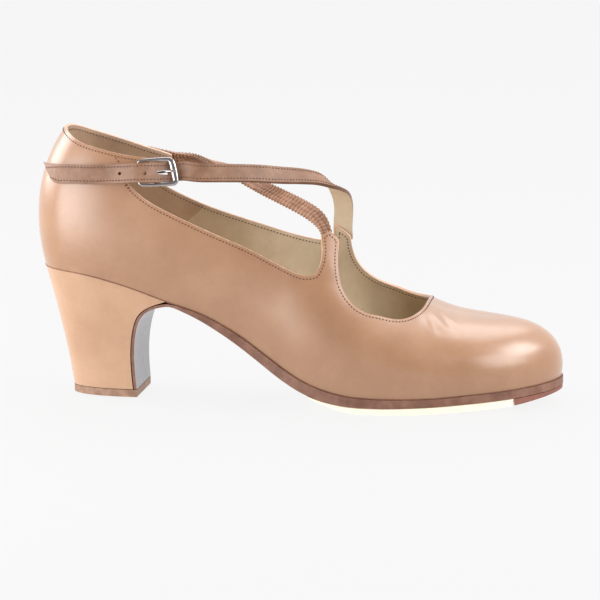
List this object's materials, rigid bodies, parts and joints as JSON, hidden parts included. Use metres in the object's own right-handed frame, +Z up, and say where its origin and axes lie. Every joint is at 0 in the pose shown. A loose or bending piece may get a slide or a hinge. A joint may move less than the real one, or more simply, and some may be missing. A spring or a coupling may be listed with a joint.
{
  "type": "flamenco shoe",
  "caption": "Right foot flamenco shoe in tan leather with a covered heel, nailed toe, crossed instep straps and a buckle.",
  "frame": {"origin": "middle of the bounding box's underside, on the floor the shoe stands on", "axes": "+X from heel to toe, +Y to the inner side of the foot, +Z up"},
  "size_m": [0.241, 0.0792, 0.123],
  "materials": {
    "upper_leather": "smooth",
    "insole_leather": "smooth",
    "sole_leather": "smooth",
    "sole_rubber": "matt",
    "nail_plate": "nailed",
    "heel_cover": "smooth",
    "lift": "smooth",
    "strap_leather": "smooth",
    "gathered_leather": "gathered",
    "buckle_metal": "polished"
  },
  "bodies": {
    "root": {"upper": "upper_leather", "insole": "insole_leather", "outsole": "sole_leather", "half_sole": "sole_rubber", "toe_plate": "nail_plate", "heel": "heel_cover", "heel_lift": "lift", "instep_strap": "strap_leather", "gathered_strap": "gathered_leather", "buckle_frame": "buckle_metal", "buckle_prong": "buckle_metal", "buckle_loop": "strap_leather"}
  },
  "joints": []
}
